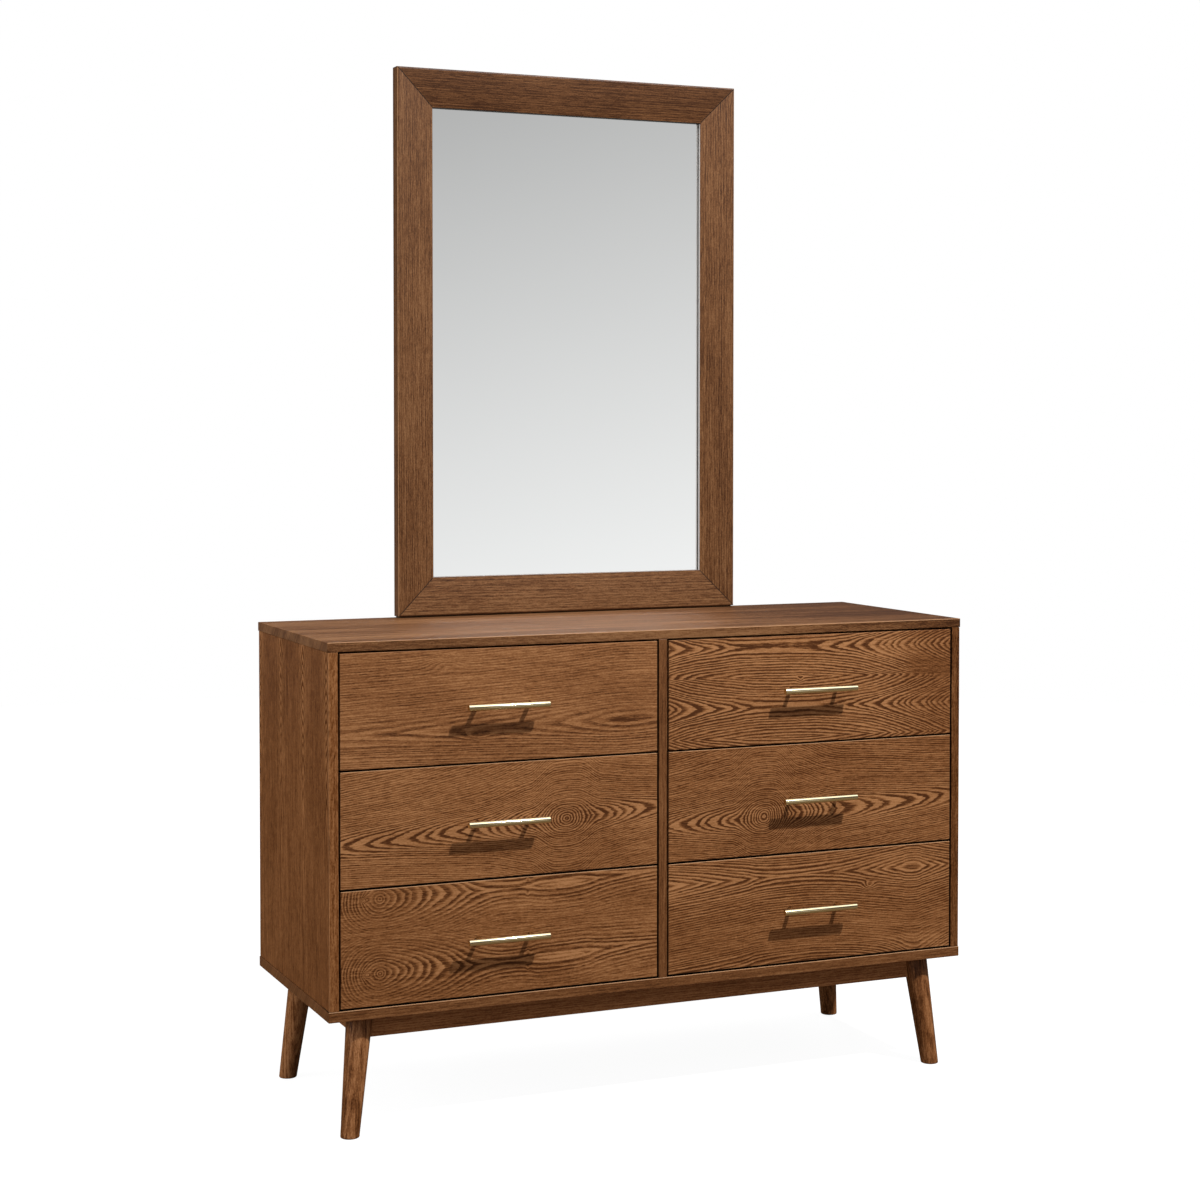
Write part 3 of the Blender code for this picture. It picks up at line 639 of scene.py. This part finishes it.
brass = plain("pull_brass", (0.76, 0.66, 0.42, 1.0), 0.10, 1.0, fleck=0.03, fleck_scale=(0.02, 0.1, 0.1))
steel = plain("slide_steel", (0.63, 0.64, 0.66, 1.0), 0.34, 1.0, fleck=0.10, fleck_scale=(0.06, 0.06, 0.06),
              brushed=(1.2, 0.03, 1.2))
screw_steel = plain("screw_steel", (0.58, 0.58, 0.58, 1.0), 0.30, 1.0, fleck=0.12)
hardboard = plain("back_board", (0.290, 0.165, 0.085, 1.0), 0.62, fleck=0.35, fleck_scale=(0.25, 0.9, 0.25), bump=0.3)
mirror = plain("mirror_silver", (0.885, 0.895, 0.890, 1.0), 0.006, 1.0, fleck=0.004, fleck_scale=(0.004, 0.004, 0.004))


# ------------------------------------------------------------------ finishes on the CAD nodes
def paint(name, mat):
    slots = NODES[name].data.materials
    for i in range(len(slots)):
        slots[i] = mat
    if not len(slots):
        slots.append(mat)


for name in NODES:
    if name == "top_panel":
        paint(name, ash_top)
    elif name == "bottom_panel":
        paint(name, ash_base)
    elif name.startswith("side_panel"):
        paint(name, ash_side[name.split("_")[-1]])
    elif name == "centre_divider":
        paint(name, ash_divider)
    elif name == "back_rail":
        paint(name, ash_rail)
    elif name.startswith("back_panel") or name == "mirror_backboard":
        paint(name, hardboard)
    elif name.startswith("mirror_support"):
        paint(name, ash_batten[name.split("_")[-1]])
    elif name.startswith("mirror_frame"):
        paint(name, ash_frame[name.split("_")[-1]])
    elif name == "mirror_glass":
        paint(name, mirror)
    elif name.startswith("leg_"):
        paint(name, ash_leg[name[len("leg_"):]])
    elif name.startswith("apron"):
        paint(name, ash_apron["long" if name.split("_")[1] in ("front", "back") else "short"])
    elif name.startswith("slide_"):
        paint(name, steel)
    elif name.startswith("front_"):
        paint(name, front_material(name[len("front_"):]))
    elif name.startswith("box_"):
        paint(name, box_wood["x"])
    elif name.startswith("floor_"):
        paint(name, box_ply)
    elif name.startswith("pull_"):
        paint(name, brass)


# ------------------------------------------------------------------ fine shapes
def add_piece(name, verts, faces, mat, body, angle=None):
    """A mesh piece; vertices in millimetres of the model's frame."""
    me = bpy.data.meshes.new(name)
    me.from_pydata([Vector(p) * MM for p in verts], [], faces)
    bm = bmesh.new()
    bm.from_mesh(me)
    bmesh.ops.recalc_face_normals(bm, faces=bm.faces)
    bm.to_mesh(me)
    bm.free()
    ob = bpy.data.objects.new(name, me)
    scene.collection.objects.link(ob)
    me.materials.append(mat)
    if angle:
        me.shade_smooth()
        me.set_sharp_from_angle(angle=math.radians(angle))
    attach(ob, body)
    return ob


def join_rings(rings, closed_ends=True):
    """Faces over rings of points, with flat ends."""
    n = len(rings[0])
    verts = [p for r in rings for p in r]
    faces = []
    for k in range(len(rings) - 1):
        for i in range(n):
            j = (i + 1) % n
            faces.append((k * n + i, k * n + j, (k + 1) * n + j, (k + 1) * n + i))
    if closed_ends:
        faces.append(tuple(range(n)))
        faces.append(tuple((len(rings) - 1) * n + i for i in range(n)))
    return verts, faces


# legs, turned: 128 sides, a rounded foot
LEG_H, W2, YF, YB = 203.0, 610.0, -213.15, 229.85
for end, sx in (("left", -1), ("right", 1)):
    for face, sy in (("front", -1), ("back", 1)):
        top = (68.0, 47.5, 22.7)
        foot = (44.5, 29.0, 16.1)
        rings = []
        stops = [(2.0 * (1 - math.cos(math.radians(a))), 2.0 * (1 - math.sin(math.radians(a))))
                 for a in (0, 12, 25, 38, 52, 66, 78, 90)]
        for z, shrink in stops + [(40.0, 0.0), (90.0, 0.0), (140.0, 0.0), (LEG_H - 1.0, 0.0), (LEG_H - 0.35, 0.35)]:
            t = z / LEG_H
            cx = foot[0] + (top[0] - foot[0]) * t
            cy = foot[1] + (top[1] - foot[1]) * t
            r = foot[2] + (top[2] - foot[2]) * t - shrink
            x = sx * (W2 - cx)
            y = YF + cy if sy < 0 else YB - cy
            rings.append([(x + r * math.cos(2 * math.pi * i / 128), y + r * math.sin(2 * math.pi * i / 128), z)
                          for i in range(128)])
        v, f = join_rings(rings)
        leg = add_piece("turned_leg_%s_%s" % (face, end), v, f, ash_leg["%s_%s" % (face, end)], "carcass",
                        40)
        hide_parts("leg_%s_%s" % (face, end))


# mirror rails, with fine rounding
def rail_profile():
    w, t, s, r, lip, rab = 71.6, 26.2, 8.2, 3.0, 8.3, 10.0
    tilt = math.atan2(s, w)
    pts = [(0.5, t), (0.15, t - 0.15), (0.0, t - 0.5)]
    centre = (r, r / math.cos(tilt) + r * s / w)
    for k in range(13):
        a = math.pi + (math.pi / 2 + tilt) * k / 12
        pts.append((centre[0] + r * math.cos(a), centre[1] + r * math.sin(a)))
    inner = (w - 0.95, s * (w - 0.95) / w + 0.95)
    for k in range(6):
        a = -math.pi / 2 + tilt + (math.pi / 2 - tilt) * k / 5
        pts.append((inner[0] + 0.95 * math.cos(a), inner[1] + 0.95 * math.sin(a)))
    pts += [(w, s + lip - 0.2), (w - 0.2, s + lip), (w - rab, s + lip), (w - rab, t - 0.5), (w - rab - 0.5, t)]
    return pts


MX, MZ0, MZ1, MY = 348.8, 837.6, 1858.4, 203.65
for edge in ("top", "bottom", "left", "right"):
    cut = 0.1
    ends = [[], []]
    for a, d in rail_profile():
        y = MY + d
        if edge in ("top", "bottom"):
            z = MZ1 - a if edge == "top" else MZ0 + a
            pair = ((-MX + a + cut, y, z), (MX - a - cut, y, z))
        else:
            x = -MX + a if edge == "left" else MX - a
            pair = ((x, y, MZ0 + a + cut), (x, y, MZ1 - a - cut))
        ends[0].append(pair[0])
        ends[1].append(pair[1])
    v, f = join_rings(ends)
    rail = add_piece("mitred_rail_" + edge, v, f, ash_frame[edge], "carcass", 25)
    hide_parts("mirror_frame_" + edge)


# pulls: a round bar on two posts, made in one piece
def bar_part(axis, start, end, radii, sides):
    """Round part along an axis; radii is a list of (distance from the start, radius)."""
    start, end = Vector(start), Vector(end)
    d = (end - start).normalized()
    a = Vector((0, 0, 1))
    b = d.cross(a).normalized()
    rings = [[start + d * s + (a * math.cos(q) + b * math.sin(q)) * r
              for q in (2 * math.pi * i / sides for i in range(sides))] for s, r in radii]
    v, f = join_rings(rings)
    me = bpy.data.meshes.new("part")
    me.from_pydata([p * MM for p in v], [], f)
    bm = bmesh.new()
    bm.from_mesh(me)
    bmesh.ops.recalc_face_normals(bm, faces=bm.faces)
    bm.to_mesh(me)
    bm.free()
    ob = bpy.data.objects.new("part", me)
    scene.collection.objects.link(ob)
    return ob


PULL_L, PULL_R, PULL_OUT, POST_X, POST_R = 147.0, 5.4, 29.3, 48.0, 3.9


def pull_mesh():
    turn = [(0.6 * (1 - math.sin(math.radians(a))), PULL_R - 0.6 * (1 - math.cos(math.radians(a))))
            for a in (90, 72, 54, 36, 18, 0)]
    ends = [(s, r) for s, r in turn]
    radii = ends + [(PULL_L - s, r) for s, r in reversed(ends)]
    bar = bar_part("x", (-PULL_L / 2, -PULL_OUT, 0), (PULL_L / 2, -PULL_OUT, 0), radii, 64)
    length = PULL_OUT - 1.0 - 0.3
    posts = [bar_part("y", (s * POST_X, -PULL_OUT + 1.0, 0), (s * POST_X, -0.3, 0),
                      [(0, POST_R), (length - 0.3, POST_R), (length, POST_R - 0.2)], 40) for s in (-1, 1)]
    for q in posts:
        mod = bar.modifiers.new("post", "BOOLEAN")
        mod.operation = "UNION"
        mod.solver = "EXACT"
        mod.object = q
    bpy.context.view_layer.update()
    me = bpy.data.meshes.new_from_object(bar.evaluated_get(bpy.context.evaluated_depsgraph_get()))
    for ob in [bar] + posts:
        bpy.data.objects.remove(ob, do_unlink=True)
    me.materials.clear()
    me.materials.append(brass)
    me.shade_smooth()
    me.set_sharp_from_angle(angle=math.radians(40))
    return me


# ------------------------------------------------------------------ drawer insides: boards, runners, screws
def block(lo, hi, ease=0.5):
    """Eased board as points and faces: an octagonal section along its longest side, with flat ends."""
    size = [hi[i] - lo[i] for i in range(3)]
    k = size.index(max(size))
    i, j = [q for q in range(3) if q != k]
    e = ease
    section = [(lo[i] + e, lo[j]), (hi[i] - e, lo[j]), (hi[i], lo[j] + e), (hi[i], hi[j] - e), (hi[i] - e, hi[j]),
               (lo[i] + e, hi[j]), (lo[i], hi[j] - e), (lo[i], lo[j] + e)]
    rings = []
    for q in (lo[k], hi[k]):
        ring = []
        for a, b in section:
            p = [0, 0, 0]
            p[i], p[j], p[k] = a, b, q
            ring.append(tuple(p))
        rings.append(ring)
    return join_rings(rings)


def prism(section, axis, start, stop):
    """A section of (first, second) coordinates pulled along axis x or y."""
    if axis == "x":
        rings = [[(q, a, b) for a, b in section] for q in (start, stop)]
    else:
        rings = [[(a, q, b) for a, b in section] for q in (start, stop)]
    return join_rings(rings)


def merge(parts):
    verts, faces = [], []
    for v, f in parts:
        faces += [tuple(i + len(verts) for i in q) for q in f]
        verts += list(v)
    return verts, faces


def screw_head(centre, normal, r=3.4, height=1.9, sides=32):
    """Pan head with a cross recess, standing on a face. Returned as points and faces, closed at the back."""
    c, n = Vector(centre), Vector(normal).normalized()
    a = Vector((0, 0, 1)) if abs(n.z) < 0.9 else Vector((1, 0, 0))
    b = n.cross(a).normalized()
    a = b.cross(n).normalized()

    def ring(rr, h):
        return [c + n * h + (a * math.cos(q) + b * math.sin(q)) * rr
                for q in (2 * math.pi * i / sides for i in range(sides))]

    def star(h, arm, waist):
        out = []
        for i in range(sides):
            q = 2 * math.pi * i / sides
            k = abs(math.cos(2 * q)) ** 3
            rr = waist + (arm - waist) * k
            out.append(c + n * h + (a * math.cos(q) + b * math.sin(q)) * rr)
        return out
    rings = [ring(r, 0.05), ring(r, height * 0.35), ring(r * 0.93, height * 0.68), ring(r * 0.78, height * 0.90),
             ring(r * 0.58, height), star(height, r * 0.50, r * 0.16), star(height * 0.35, r * 0.28, r * 0.10)]
    return join_rings(rings)


pull_me = pull_mesh()
BOX_X, BOX_Y0, BOX_Y1, BT, BH = 279.0, -194.85, 198.85, 12.0, 140.0
BOX_Z = {"bottom": 242.0, "middle": 441.2, "top": 640.1}
GAP = 0.15
for row in ("bottom", "middle", "top"):
    for column in ("left", "right"):
        label = "%s_%s" % (row, column)
        body = "drawer_" + label
        cx, cz, bz = COLUMN_X[column], ROW_Z[row], BOX_Z[row]
        ob = bpy.data.objects.new("bar_pull_" + label, pull_me)
        scene.collection.objects.link(ob)
        ob.location = (cx * MM, YF * MM, cz * MM)
        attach(ob, body)
        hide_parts("pull_" + label)

        # box: front and back boards between the sides, groove cut inside all four
        g0, g1, gd, c = 10.0, 15.6, 6.0, 0.7
        section = [(0, c), (c, 0), (BT - c, 0), (BT, c), (BT, g0), (BT - gd, g0), (BT - gd, g1), (BT, g1),
                   (BT, BH - c), (BT - c, BH), (c, BH), (0, BH - c)]
        for side, s in (("left", -1), ("right", 1)):
            sec = [(cx + s * (BOX_X - a), bz + b) for a, b in section]
            v, f = prism(sec, "y", BOX_Y0, BOX_Y1)
            add_piece("box_side_%s_%s" % (label, side), v, f, box_wood["y"], body)
        for face, y0, s in (("front", BOX_Y0, 1), ("back", BOX_Y1, -1)):
            sec = [(y0 + s * a, bz + b) for a, b in section]
            v, f = prism(sec, "x", cx - BOX_X + BT + GAP, cx + BOX_X - BT - GAP)
            add_piece("box_%s_board_%s" % (face, label), v, f, box_wood["x"], body)
        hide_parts("box_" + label)

        # screws: two through the box front into each post, four that hold the front to the box
        heads = [screw_head((cx + s * POST_X, BOX_Y0 + BT, cz), (0, 1, 0), 4.2, 2.2) for s in (-1, 1)]
        heads += [screw_head((cx + sx * 215.0, BOX_Y0 + BT, bz + z), (0, 1, 0), 3.4, 1.8)
                  for sx in (-1, 1) for z in (38.0, 112.0)]
        v, f = merge(heads)
        add_piece("screws_front_" + label, v, f, screw_steel, body, 35)

        # the drawer's own slide members, inside the cabinet's channels
        for side, s in (("left", -1), ("right", 1)):
            wall = cx + s * (BOX_X + 0.15)                 # on the box side
            zc = bz + 70.0
            t, h = 1.2, 14.5
            run = [(wall, zc - h), (wall + s * 7.6, zc - h), (wall + s * 7.6, zc - h + 4.0),
                   (wall + s * 6.4, zc - h + 4.0), (wall + s * 6.4, zc - h + t), (wall + s * t, zc - h + t),
                   (wall + s * t, zc + h - t), (wall + s * 6.4, zc + h - t), (wall + s * 6.4, zc + h - 4.0),
                   (wall + s * 7.6, zc + h - 4.0), (wall + s * 7.6, zc + h), (wall, zc + h)]
            v, f = prism(run, "y", -190.0, 182.0)
            add_piece("runner_%s_%s" % (label, side), v, f, steel, body)

# screws in the cabinet's slide members, on the web inside the channel
heads = []
for row in ("bottom", "middle", "top"):
    z = BOX_Z[row] + 70.0
    for x, s in ((-591.7, 1), (-8.3, -1), (8.3, 1), (591.7, -1)):
        for y in (-165.0, -30.0, 150.0):
            heads.append(screw_head((x + s * 1.2, y, z), (s, 0, 0), 3.0, 0.9, 24))
v, f = merge(heads)
add_piece("screws_slides", v, f, screw_steel, "carcass", 35)

# screws on the back: panels, rail, battens
heads = []
for x0, x1 in ((-591.7, -0.2), (0.2, 591.7)):
    for z in (229.0, 330.0, 430.0, 530.0, 630.0):
        heads += [screw_head((x, 210.85, z), (0, 1, 0), 2.8, 1.3, 24) for x in (x0 + 7.0, x1 - 7.0)]
    for k in (1, 2, 3):
        heads.append(screw_head((x0 + (x1 - x0) * k / 4, 210.85, 229.0), (0, 1, 0), 2.8, 1.3, 24))
v, f = merge(heads)
add_piece("screws_back_panels", v, f, screw_steel, "carcass", 35)

# battens behind the mirror, with their screws sunk in round pockets
def drilled(lo, hi, holes, r, depth):
    """Eased board with flat-bottomed holes in its +Y face."""
    def raw(name, v, f):
        me = bpy.data.meshes.new(name)
        me.from_pydata([Vector(q) * MM for q in v], [], f)
        bm = bmesh.new()
        bm.from_mesh(me)
        bmesh.ops.recalc_face_normals(bm, faces=bm.faces)
        bm.to_mesh(me)
        bm.free()
        ob = bpy.data.objects.new(name, me)
        scene.collection.objects.link(ob)
        return ob
    board = raw("board", *block(lo, hi, 0.8))
    cutters = []
    for x, z in holes:
        rings = [[(x + r * math.cos(2 * math.pi * i / 40), y, z + r * math.sin(2 * math.pi * i / 40))
                  for i in range(40)] for y in (hi[1] - depth, hi[1] + 2.0)]
        cutters.append(raw("cutter", *join_rings(rings)))
    for c in cutters:
        mod = board.modifiers.new("hole", "BOOLEAN")
        mod.operation = "DIFFERENCE"
        mod.solver = "EXACT"
        mod.object = c
    bpy.context.view_layer.update()
    me = bpy.data.meshes.new_from_object(board.evaluated_get(bpy.context.evaluated_depsgraph_get()))
    for ob in [board] + cutters:
        bpy.data.objects.remove(ob, do_unlink=True)
    me.materials.clear()
    return me


BATTEN_SCREWS = (742.0, 795.0, 880.0, 1150.0, 1530.0)
heads = []
for side, k in (("left", -1), ("right", 1)):
    me = drilled((k * 313.0 - 25.0, 230.15, 690.0), (k * 313.0 + 25.0, 247.85, 1560.0),
                 [(k * 313.0, z) for z in BATTEN_SCREWS], 5.2, 3.4)
    me.materials.append(ash_batten[side])
    ob = bpy.data.objects.new("batten_" + side, me)
    scene.collection.objects.link(ob)
    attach(ob, "carcass")
    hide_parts("mirror_support_" + side)
    heads += [screw_head((k * 313.0, 244.45, z), (0, 1, 0), 4.0, 2.2, 32) for z in BATTEN_SCREWS]
v, f = merge(heads)
add_piece("screws_battens", v, f, screw_steel, "carcass", 35)

# a dark strip filling the gap under the mirror frame: painted shadow of that gap
painted_gap_shadow = plain("painted_gap_shadow", (0.110, 0.075, 0.048, 1.0), 0.95, fleck=0.4, fleck_scale=(1.2, 1.2, 1.2))
v, f = block((-346.0, 211.0, 835.05), (346.0, 228.5, 837.5), 0.3)
add_piece("painted_gap_shadow_strip", v, f, painted_gap_shadow, "carcass")

# ------------------------------------------------------------------ floor
me = bpy.data.meshes.new("floor")
n = 96
me.from_pydata([(6.0 * math.cos(2 * math.pi * i / n), 6.0 * math.sin(2 * math.pi * i / n), 0.0) for i in range(n)], [],
               [tuple(range(n))])
floor = bpy.data.objects.new("floor", me)
scene.collection.objects.link(floor)
mat = bpy.data.materials.new("floor_pale")
mat.use_nodes = True
net = Net(mat.node_tree)
net.t.nodes.clear()
path = net.new("ShaderNodeLightPath")
grey = net.new("ShaderNodeBsdfDiffuse")
grey.inputs["Color"].default_value = (0.125, 0.088, 0.054, 1.0)
pale = net.new("ShaderNodeBsdfDiffuse")
pale.inputs["Color"].default_value = (0.12, 0.12, 0.12, 1.0)
glow = net.new("ShaderNodeEmission")
glow.inputs["Strength"].default_value = 0.93
both = net.new("ShaderNodeAddShader")
net.put(both.inputs[0], pale.outputs[0])
net.put(both.inputs[1], glow.outputs[0])
seen = net.new("ShaderNodeBsdfDiffuse")
spot = net.place()
near = net.span(spot[1], -6000.0, -3000.0)
net.put(seen.inputs["Color"], net.mix(near, (0.27, 0.26, 0.25, 1.0), (0.110, 0.078, 0.048, 1.0)))
shiny = net.new("ShaderNodeMixShader")
net.put(shiny.inputs[0], path.outputs["Is Glossy Ray"])
net.put(shiny.inputs[1], grey.outputs[0])
net.put(shiny.inputs[2], seen.outputs[0])
pick = net.new("ShaderNodeMixShader")
net.put(pick.inputs[0], path.outputs["Is Camera Ray"])
net.put(pick.inputs[1], shiny.outputs[0])
net.put(pick.inputs[2], both.outputs[0])
out = net.new("ShaderNodeOutputMaterial")
net.put(out.inputs[0], pick.outputs[0])
me.materials.append(mat)

# ------------------------------------------------------------------ studio: a soft grey room on a white backdrop
world = bpy.data.worlds.new("studio")
world.use_nodes = True
scene.world = world
net = Net(world.node_tree)
net.t.nodes.clear()
coord = net.new("ShaderNodeTexCoord")
x, y, z = net.split(coord.outputs["Generated"])
panel = 0.745 - (z - 0.038) * 2.02 + net.m("MINIMUM", net.m("MAXIMUM", x - 0.383, -0.12), 0.12) * 0.60
panel = net.m("MINIMUM", net.m("MAXIMUM", panel, 0.40), 0.98)
aside = net.m("ABSOLUTE", x - 0.383)
flag = net.span(aside, 0.46, 0.28)
lit = net.span(aside, 0.13, 0.08) * net.span(z, 0.185, 0.155)
front = 0.45 * (1.0 - flag) + flag * 0.12
front = front * (1.0 - lit) + panel * lit
behind = net.span(z, 0.15, 0.80, 0.07, 0.35)
is_front = net.span(y, 0.25, -0.45)
left = net.span(x, -0.45, -0.95) * net.span(y, 0.60, 0.10)
ceiling = net.span(z, 0.53, 0.64) * net.span(y, 0.50, 0.15)
room = behind * (1.0 - is_front) + front * is_front
room = room * (1.0 - left) + left * 0.60
path = net.new("ShaderNodeLightPath")
shown = Val(net, path.outputs["Is Camera Ray"])
room = room * (1.0 - ceiling) + ceiling * (Val(net, path.outputs["Is Glossy Ray"]) * 0.55 + 1.42)
ground = net.span(z, -0.075, -0.13)
room = room * (1.0 - ground) + ground * 0.35
bg = net.new("ShaderNodeBackground")
net.put(bg.inputs["Color"], (1.0, 1.0, 1.0, 1.0))
net.put(bg.inputs["Strength"], room * (1.0 - shown) + shown * 1.0)
out = net.new("ShaderNodeOutputWorld")
net.put(out.inputs[0], bg.outputs[0])


def softbox(name, direction, distance, size, watts, aim=(0.0, -0.2, 0.6)):
    data = bpy.data.lights.new(name, "AREA")
    data.shape = "RECTANGLE"
    data.size, data.size_y = size
    data.energy = watts
    ob = bpy.data.objects.new(name, data)
    d = Vector(direction).normalized()
    ob.location = Vector(aim) + d * distance
    ob.rotation_mode = "QUATERNION"
    ob.rotation_quaternion = d.to_track_quat("Z", "Y")
    scene.collection.objects.link(ob)
    return ob


softbox("key", (0.325, -0.541, 0.776), 5.0, (0.15, 0.15), 330.0)
softbox("back_fill", (0.20, 0.96, 0.20), 4.5, (2.4, 2.4), 120.0, (0.0, 0.2, 0.9)).visible_glossy = False
softbox("left_fill", (-0.97, 0.05, 0.25), 4.0, (2.2, 2.6), 75.0).visible_glossy = False

# ------------------------------------------------------------------ a last update of the view layer
bpy.context.view_layer.update()
